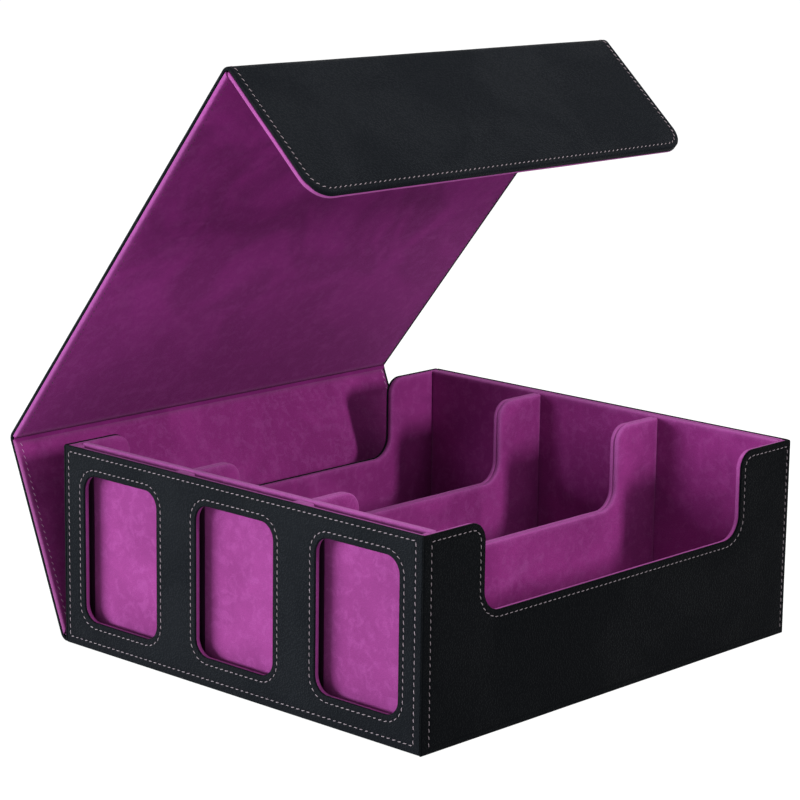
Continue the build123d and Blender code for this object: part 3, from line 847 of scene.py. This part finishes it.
# A skin between two lengths along the lid: a grid of lines across and along, its outer face rounded
# down at the free edges and furrowed under the stitches by d, the distance to the edge. With a tip,
# corner squares are drawn in to arcs: a point keeps the larger of its two distances past the arc's
# centre as its radius, and the very edge turns up over the board.
def leatherStrip(s0, s1, tip=0.0):
    half, margin = lid["half"], skinMesh["margin"]
    bulk = np.arange(-half + margin, half - margin + mm, skinMesh["across"])
    xs = np.unique(np.round(np.concatenate([-half + edgeLevels, bulk, half - edgeLevels]), 7))
    folds = [m + c * np.linspace(-1, 1, skinMesh["fold"]) for m, c in zip(marks, cuts)]
    ss = np.concatenate([[s0, s1], *folds, np.arange(s0, s1, skinMesh["along"])])
    if tip:
        ss = np.concatenate([ss[ss < s1 - margin], s1 - edgeLevels])
    ss = np.unique(np.round(ss[(ss >= s0) & (ss <= s1)], 7))
    x, s = np.meshgrid(xs, ss, indexing="ij")
    d = half - np.abs(x)
    turnUp = 0.0
    if tip:
        d = np.minimum(d, s1 - s)
        turnUp = np.clip((s - s1 + lid["curlFrom"]) / lid["curlOver"], 0, 1) * (d < lid["curlWide"])
        turnUp = turnUp * np.interp(x, [-half, half], lid["curl"])
        u, v = np.abs(x) - (half - tip), s - (s1 - tip)
        inside = (u > 0) & (v > 0)
        pull = np.where(inside, np.maximum(u, v) / np.maximum(np.hypot(u, v), 1e-12), 1.0)
        x = np.where(inside, np.sign(x) * (half - tip + u * pull), x)
        s = np.where(inside, s1 - tip + v * pull, s)
    r = lid["edge"]
    drop = np.where(d < r, r - np.sqrt(np.maximum(r ** 2 - (r - d) ** 2, 0)), 0)
    slow = waver(np.stack([x, s, 0 * s], -1), lid["drift"])
    outer = -lid["skinOut"] + drop - furrow(d, lid["seam"]) + slow
    under = lid["skinIn"] - lid["backRound"] * drop * (turnUp == 0) + turnUp
    flat = np.stack([x, s], -1)
    return closedSheet(lidPut(flat, outer), lidPut(flat, under), pulled(d, lid["seam"]))


for k, body in enumerate(bodies[1:]):
    skin = leatherStrip(marks[k] + lid["fold"], panelEnd(k, lid["fold"]), tips[k])
    makePiece(body + "_skin", [skin], "black_leather", body, [body + "_leather"])
foldNames = ["hinge_fold", "top_fold", "ridge_fold"]
foldStarts = marks - lid["fold"]
foldStarts[0] = floors["hingeStart"] + floors["under"] - hinges[0, 0]  # just past the bottom's skin
for k, name in enumerate(foldNames):
    fold = leatherStrip(foldStarts[k], marks[k] + lid["fold"])
    bendAt(makePiece(name + "_skin", [fold], "black_leather"))
board = dict(foot=1.3 * mm, top=3.75 * mm, lap=0.05 * mm, outer=0.6 * mm, inner=1.3 * mm, flatTo=2 * mm,
             tipBack=0.15 * mm, corner=1.0 * mm, drift=0.08 * mm, lining=0.8 * mm)


# Lined board of one lid panel, or the bare board with the cover's thickness taken off. Its sides are
# rounded; at a crease the edge slopes at 45 degrees, so each row is drawn in along the lid by its
# own height as well.
def lidBoard(k, cover):
    tip = tips[k]
    near, far = marks[k] + board["foot"], ends[k] - (board["tipBack"] if tip else board["foot"])
    half, foot = lid["half"], lid["skinIn"] + board["lap"]

    def shape(inset):
        side, rise = inset if isinstance(inset, tuple) else (inset, 0.0)
        x, far1 = half - side, far - side - (0.0 if tip else rise)
        corners = [(-x, near + side + rise), (-x, far1), (x, far1), (x, near + side + rise)]
        return corners, [max((tip or board["corner"]) - side, leastRound)] * 2
    rows = rimRows(board["top"] - foot - cover, board["outer"], board["inner"], board["flatTo"])
    rows = [((d + cover, -h), -h) for d, h in rows]
    drift = 0.0 if cover else board["drift"]
    return slab(shape, rows, lambda f, h: lidPut(f, h + foot), oblongFeet, drift)


# sizes of the dark bead along each panel's far edge, painted shade
lip = dict(round=1.3 * mm, side=0.3 * mm, thick=0.3 * mm, high=0.15 * mm, over=0.9 * mm,
           low=0.2 * mm, clear=2.6 * mm, wear=0.3, along=6 * mm)


# Black leather bead over the far edge of a panel, a dark line where the lining's rolled edge is in shade:
# painted shade. Its section runs up the board's side, a quarter round over the lining, and back inside by
# its own thickness; it is carried along the edge.
def farShadeLip(s0, s1):
    a = np.linspace(0, math.pi / 2, 7)
    r, side, thin = lip["round"], lid["half"] + lip["side"], lip["thick"]
    high, over = board["top"] + lip["high"], side - r - lip["over"]
    ray = np.stack([np.cos(a), np.sin(a)], 1)
    outerArc = (side - r, high - r) + r * ray
    innerArc = ((side - r, high - r) + (r - thin) * ray)[::-1]
    section = np.concatenate([[(side, lip["low"])], outerArc, [(over, high), (over, high - thin)],
                              innerArc, [(side - thin, lip["low"])]])
    ss = np.linspace(s0, s1, int((s1 - s0) / lip["along"]) + 2)
    n = len(section)
    flat = np.stack([np.broadcast_to(section[:, 0], (len(ss), n)), np.repeat(ss[:, None], n, 1)], -1)
    points, place = lidPut(flat, np.broadcast_to(section[:, 1], (len(ss), n)))
    k = np.arange(n // 2 - 1)
    cap = np.stack([k, k + 1, n - 2 - k, n - 1 - k], 1)
    quads = np.concatenate([gridQuads(len(ss), n, True), cap, cap + (len(ss) - 1) * n])
    return patch(points, quads, place, lip["wear"])


for k, body in enumerate(bodies[1:]):
    # the lid top's lining takes the darker painted-shade copy of the suede
    nap = (backNap, shadedLidNap, finishes["purple_lining"])[k]
    makePiece(body + "_suede", [lidBoard(k, 0.0)], "purple_lining", body, [body + "_lining"], nap)
    makePiece(body + "_core", [lidBoard(k, board["lining"])], "greyboard", body, [body + "_board"])
for k, body in enumerate(bodies[1:]):
    clear = board["foot"] + lip["clear"]
    turned = farShadeLip(marks[k] + clear, ends[k] - (tips[k] or clear))
    makePiece(body + "_shade_lip", [turned], "black_leather", body)
crease = dict(low=1.95 * mm, line=2.2 * mm, lineHalf=0.55 * mm, dark=2, near=0.5 * mm, closes=3 * mm,
              closesOver=1.6 * mm, across=40, along=25, farSteps=np.array([-2.2, -1.4, -0.6, 0.2]) * mm)
creases = {  # each crease's half width, and how far its lining climbs up to the boards
    "hinge_fold": dict(span=2.9 * mm, climb=0.0), "top_fold": dict(span=3.9 * mm, climb=1.2 * mm),
    "ridge_fold": dict(span=3.9 * mm, climb=1.2 * mm)}


# The lining in a crease: a closed band along the fold. Height = line + climb * (share of the way out
# to the boards, or of the closed far end); dark = twice a bell curve on the crease line, which mixes the
# lining to its rim colour, near black in the open creases: painted shade along the valley.
def foldStrip(mark, span, climb):
    half, closes = lid["half"], crease["closes"]
    xs = np.concatenate([np.linspace(-half + crease["near"], half - closes, crease["across"]),
                         half + crease["farSteps"]])
    x, share = np.meshgrid(xs, np.linspace(-1, 1, crease["along"]), indexing="ij")
    closing = np.clip((x - half + closes) / crease["closesOver"], 0, 1)
    high = crease["line"] + climb * np.maximum(np.abs(share), closing)
    flat = np.stack([x, mark + share * span], -1)
    dark = crease["dark"] * np.exp(-(share * span / crease["lineHalf"]) ** 2)
    return closedSheet(lidPut(flat, np.full(x.shape, crease["low"])), lidPut(flat, high), dark)


for k, name in enumerate(foldNames):
    band = foldStrip(marks[k], **creases[name])
    # painted shade: every crease lining is a darker copy of the suede
    nap = shadedOpenCreaseNap if creases[name]["climb"] else pressedAndShadedCreaseNap
    bendAt(makePiece(name + "_suede", [band], "purple_lining", finish=nap))
print("lid covered")

stitch = dict(pitch=3.73 * mm, long=2.3 * mm, wide=0.45 * mm, high=0.36 * mm, sink=0.13 * mm,
              slant=0.14, uneven=0.06, wander=0.05, lift=-0.1 * mm, arch=1.6, bed=0.6, ring=7,
              blunt=0.02, aim=0.5 * mm,
              arc=8, wallRun=2 * mm, windowSide=30, frameSide=60,  # how finely a row's line is cut
              steps=np.array([-1, -0.86, -0.5, 0, 0.5, 0.86, 1.0]))


# A row of stitches. Each is a tube whose radius swells by sqrt(1 - t^4) and whose middle arches by
# 1 - t^2, set along the line and tipped a little across it. It aims from the line's point a little
# before its middle to the one a little after.
def stitchPatch(line, out, closed=False, slant=stitch["slant"], slender=1.0, pitch=stitch["pitch"]):
    line = np.concatenate([line, line[:1]]) if closed else line
    out = np.broadcast_to(out, line.shape)
    steps = np.linalg.norm(np.diff(line, axis=0), axis=1)
    length = np.concatenate([[0], np.cumsum(steps)])
    count = max(int(round(length[-1] / pitch)), 1)
    at = (np.arange(count) + 0.5) * length[-1] / count
    place = lambda values, s: np.stack([np.interp(s, length, values[:, k]) for k in range(3)], -1)
    middle, normal = place(line, at), unit(place(out, at))
    ahead = unit(place(line, at + stitch["aim"]) - place(line, at - stitch["aim"]))
    across = np.cross(normal, ahead)
    tip = slant + dice.normal(0, stitch["wander"], count)[:, None]
    ahead, across = (ahead * np.cos(tip) + across * np.sin(tip),
                     across * np.cos(tip) - ahead * np.sin(tip))
    size = 1 + dice.normal(0, stitch["uneven"], count)[:, None, None]
    t, ring, sink = stitch["steps"], stitch["ring"], stitch["sink"]
    a = np.linspace(0, 2 * math.pi, ring)
    swell = (np.sqrt(np.maximum(1 - t ** 4, 0)) + stitch["blunt"])[:, None]
    u = (t * stitch["long"] / 2)[:, None] + 0 * a
    v = stitch["wide"] * slender / 2 * swell * np.cos(a)
    w = stitch["high"] / 2 * swell * np.sin(a) + (sink * (1 - t ** 2) * stitch["arch"])[:, None]
    shape = np.stack([u, v, w - sink * stitch["bed"]], -1).reshape(-1, 3)
    points = (middle[:, None] + ahead[:, None] * shape[:, :1] * size + across[:, None] * shape[:, 1:2]
              + normal[:, None] * shape[:, 2:])
    quads = gridQuads(len(t), ring)
    quads = (quads[None] + (np.arange(count) * len(shape))[:, None, None]).reshape(-1, 4)
    uv = np.stack(np.broadcast_arrays(((t + 1) / 2)[:, None], (a / (2 * math.pi))[None]), -1)
    return points.reshape(-1, 3), np.tile(uv.reshape(-1, 2), (count, 1)), quads


def makeThreadPiece(name, rows, body=None, finish=None):  # each stitch is welded along its length
    shift = np.cumsum([0] + [len(r[0]) for r in rows[:-1]])
    points = np.concatenate([r[0] for r in rows])
    uv = np.concatenate([r[1] for r in rows])
    quads = np.concatenate([r[2] + s for r, s in zip(rows, shift)])
    loopUv = uv[quads.ravel()]
    number = np.arange(len(points)).reshape(-1, len(stitch["steps"]), stitch["ring"])
    number[..., -1] = number[..., 0]
    kept, back = np.unique(number.ravel(), return_inverse=True)
    quads = back.reshape(-1)[quads]
    mesh = bpy.data.meshes.new(name)
    mesh.from_pydata(points[kept], [], quads.tolist())
    mesh.uv_layers.new(name="UVMap").data.foreach_set("uv", loopUv.ravel())
    outwards(mesh, True)
    return settle(name, mesh, "thread", body, (), finish)


def flatLine(put, flat):
    return put(flat, np.full(len(flat), stitch["lift"]))[0]


def stitchNotchedWall(name, side, finish=None):
    put = flatOn((0, side * box["halfDepth"], 0), xWay, zWay, side * yWay)
    o = seam["offset"]
    half, low, high, foot = box["notchHalf"] + o, box["notchFloor"] - o, top - o, seam["foot"]
    near, far = -box["halfLength"] + o + seam["nearExtra"], box["halfLength"] - o - seam["farExtra"]
    corners = [(near, foot), (near, high), (-half, high), (-half, low), (half, low),
               (half, high), (far, high), (far, foot)]
    ear, hollow = box["earRadius"] - o, box["notchRadius"] + o
    radii = [seam["tip"], ear, hollow, hollow, ear, seam["tip"]]
    counts = runCounts(corners, stitch["wallRun"])
    line = flatLine(put, roundedChain(corners, radii, counts, stitch["arc"]))
    makeThreadPiece(name + "_thread", [stitchPatch(line, side * yWay)], "box", finish)


def stitchFrame(put, y0, y1, z0, z1, out):  # four straight rows
    corners = [(y0, z0), (y0, z1), (y1, z1), (y1, z0), (y0, z0)]
    return [stitchPatch(flatLine(put, np.linspace(a, b, stitch["frameSide"])), out)
            for a, b in zip(corners, corners[1:])]


def stitchEnds():
    put = flatOn((-box["halfLength"], 0, 0), yWay, zWay, -xWay)
    loops = [windowLoop(y, windowSeam["round"], arc=stitch["arc"], side=stitch["windowSide"])
             for y in window["middles"]]
    rows = [stitchPatch(flatLine(put, loop), -xWay, True) for loop in loops]
    rows += stitchFrame(put, -skinSide + windowSeam["front"], skinSide - windowSeam["back"],
                        box["skinFoot"] + windowSeam["low"], top - windowSeam["top"], -xWay)
    makeThreadPiece("window_thread", rows, "box")
    put = flatOn((box["halfLength"], 0, 0), yWay, zWay, xWay)
    o = seam["offset"]
    rows = stitchFrame(put, o - skinSide, skinSide - o, box["skinFoot"] + o, top - o, xWay)
    makeThreadPiece("far_thread", rows, "box")


stitchNotchedWall("front", -1, shadedFrontThread)
stitchNotchedWall("back", 1)
stitchEnds()
lidRow = dict(sinkIn=0.05 * mm, sinkOut=0.1 * mm, start=4 * mm, run=1.5 * mm,
              slant=0.42, slender=0.9, pitch=3.54 * mm)


# Rows along both free edges between two lengths of the lid, round the tip if there is one.
# face +1 stitches the inner face, -1 the outer.
def lidStitches(s0, s1, tip, face):
    x = lid["half"] - lid["seam"]
    depth = board["top"] - lidRow["sinkIn"] if face > 0 else lidRow["sinkOut"] - lid["skinOut"]
    if tip:
        far = s1 - lid["seam"]
        runs = [([(-x, s0), (-x, far), (x, far), (x, s0)], [tip - lid["seam"]] * 2)]
    else:
        runs = [([(e * x, s0), (e * x, (s0 + s1) / 2), (e * x, s1)], [mm]) for e in (-1, 1)]
    rows = []
    for corners, radii in runs:
        chain = roundedChain(corners, radii, runCounts(corners, lidRow["run"]), stitch["arc"])
        line = lidPut(chain, np.full(len(chain), depth))[0]
        out = lidPut(chain, np.full(len(chain), depth + mm))[0] - line
        rows.append(stitchPatch(line, out * face, False, lidRow["slant"], lidRow["slender"],
                                lidRow["pitch"]))
    return rows


for k, body in enumerate(bodies[1:]):
    rows = lidStitches(marks[k] + lid["fold"], panelEnd(k, lid["fold"]), tips[k], -1)
    makeThreadPiece(body + "_thread", rows, body, lidThread)
    rows = lidStitches(marks[k] + lidRow["start"], panelEnd(k, lidRow["start"]), tips[k], 1)
    # the lid top's inner stitches take the painted-shade copy of the lilac thread
    makeThreadPiece(body + "_inner_thread", rows, body, shadedPlumThread if k == 1 else lilacThread)
for k in (1, 2):
    rows = lidStitches(marks[k] - lid["fold"], marks[k] + lid["fold"], 0.0, -1)
    bendAt(makeThreadPiece(foldNames[k] + "_thread", rows, None, lidThread))
print("stitched")

for name, node in frame["nodes"].items():  # boards and magnets stay inside their covers
    slotName = "magnet" if name.endswith("magnets") else "greyboard"
    if not node.hide_render:
        node.data.materials.clear()
        node.data.materials.append(finishes[slotName])

studio = dict(reach=9.0, drop=0.0003, bounce=(0.7, 0.7, 0.7, 1), shaded=(0.2, 0.2, 0.2, 1), glow=0.92,
              fill=0.48)


def seenDirectly(tree):  # 1 for what the camera sees, directly or in gloss or glass
    path = add(tree, "ShaderNodeLightPath").outputs
    return maths(tree, "MAXIMUM", path["Is Camera Ray"],
                 maths(tree, "MAXIMUM", path["Is Glossy Ray"], path["Is Transmission Ray"]))


def addFloor():
    mesh = bpy.data.meshes.new("studioFloor")
    r, z = studio["reach"], -studio["drop"]
    mesh.from_pydata([(-r, -r, z), (r, -r, z), (r, r, z), (-r, r, z)], [], [(0, 1, 2, 3)])
    floor = bpy.data.objects.new("studioFloor", mesh)
    bpy.context.scene.collection.objects.link(floor)
    made = bpy.data.materials.new("paleFloor")
    made.use_nodes = True
    tree = made.node_tree
    tree.nodes.clear()
    # lit by the lamps for bounce; seen, it is mostly its own white, with a share of the lit surface
    plain = add(tree, "ShaderNodeBsdfDiffuse", {"Color": studio["bounce"]})
    weak = add(tree, "ShaderNodeBsdfDiffuse", {"Color": studio["shaded"]})
    glow = add(tree, "ShaderNodeEmission", {"Color": (1, 1, 1, 1), "Strength": studio["glow"]})
    both = add(tree, "ShaderNodeAddShader", {0: weak.outputs[0], 1: glow.outputs[0]})
    mix = add(tree, "ShaderNodeMixShader", {0: seenDirectly(tree), 1: plain.outputs[0],
                                            2: both.outputs[0]})
    out = add(tree, "ShaderNodeOutputMaterial", {"Surface": mix.outputs[0]})
    out.is_active_output = True
    mesh.materials.append(made)


def setWorld():  # a dim fill for the object, white behind it
    world = bpy.data.worlds.new("studioWorld")
    bpy.context.scene.world = world
    world.use_nodes = True
    tree = world.node_tree
    tree.nodes.clear()
    dim = add(tree, "ShaderNodeBackground", {"Color": (1, 1, 1, 1), "Strength": studio["fill"]})
    white = add(tree, "ShaderNodeBackground", {"Color": (1, 1, 1, 1), "Strength": 1.0})
    mix = add(tree, "ShaderNodeMixShader", {0: seenDirectly(tree), 1: dim.outputs[0],
                                            2: white.outputs[0]})
    add(tree, "ShaderNodeOutputWorld", {"Surface": mix.outputs[0]})


lamps = dict(key=dict(towards=(-0.046, -0.92, 0.35), distance=7.0, wide=0.6, tall=1.25, power=297.0),
             side=dict(towards=(-0.82, 0.53, 0.115), distance=2.4, wide=1.6, tall=0.4, power=76.0,
                       tint=(0.97, 1.02, 1.04)),
             overhead=dict(towards=(0.1, -0.3, 1.0), distance=2.2, wide=1.1, tall=1.1, power=21.0))


# A soft lamp on the given direction from its aim, facing it.
def addLamp(name, towards, distance, wide, tall, power, tint=(1.0, 1.0, 1.0), aim=(0.0, 0.0, 0.1)):
    lamp = bpy.data.lights.new(name, "AREA")
    lamp.shape, lamp.size, lamp.size_y = "RECTANGLE", wide, tall
    lamp.energy, lamp.color = power, tint
    holder = bpy.data.objects.new(name, lamp)
    back = unit(np.array(towards, float))
    right = unit(np.cross((0.0, 0.0, 1.0), back) + (1e-9, 0, 0))
    matrix = np.eye(4)
    matrix[:3, 0], matrix[:3, 1], matrix[:3, 2] = right, np.cross(back, right), back
    matrix[:3, 3] = np.array(aim) + back * distance
    holder.matrix_world = Matrix(matrix.tolist())
    holder.visible_camera = False
    bpy.context.scene.collection.objects.link(holder)


addFloor()
setWorld()
for name, look in lamps.items():
    addLamp(name, **look)
view = dict(target=(0.25267, 0.26062, 0.056), azimuth=-46.879, elevation=12.336, roll=0.798,
            distance=1.94634, lens=129.17, sensor=36.0, clip=(0.05, 50.0))


# The camera stands back from its target by distance, turned by azimuth and elevation, then rolled.
def addCamera():
    a, e, r = (math.radians(view[k]) for k in ("azimuth", "elevation", "roll"))
    back = np.array([math.sin(a) * math.cos(e), -math.cos(a) * math.cos(e), math.sin(e)])
    right = unit(np.cross(-back, (0.0, 0.0, 1.0)))
    up = np.cross(right, -back)
    matrix = np.eye(4)
    matrix[:3, 0] = right * math.cos(r) + up * math.sin(r)
    matrix[:3, 1] = up * math.cos(r) - right * math.sin(r)
    matrix[:3, 2] = back
    matrix[:3, 3] = np.array(view["target"]) + back * view["distance"]
    data = bpy.data.cameras.new("photoCamera")
    data.sensor_width, data.lens = view["sensor"], view["lens"]
    data.clip_start, data.clip_end = view["clip"]
    camera = bpy.data.objects.new("photoCamera", data)
    camera.matrix_world = Matrix(matrix.tolist())
    bpy.context.scene.collection.objects.link(camera)
    bpy.context.scene.camera = camera


addCamera()
bpy.context.scene.view_settings.view_transform = "Standard"
print("room, lamps and camera ready")
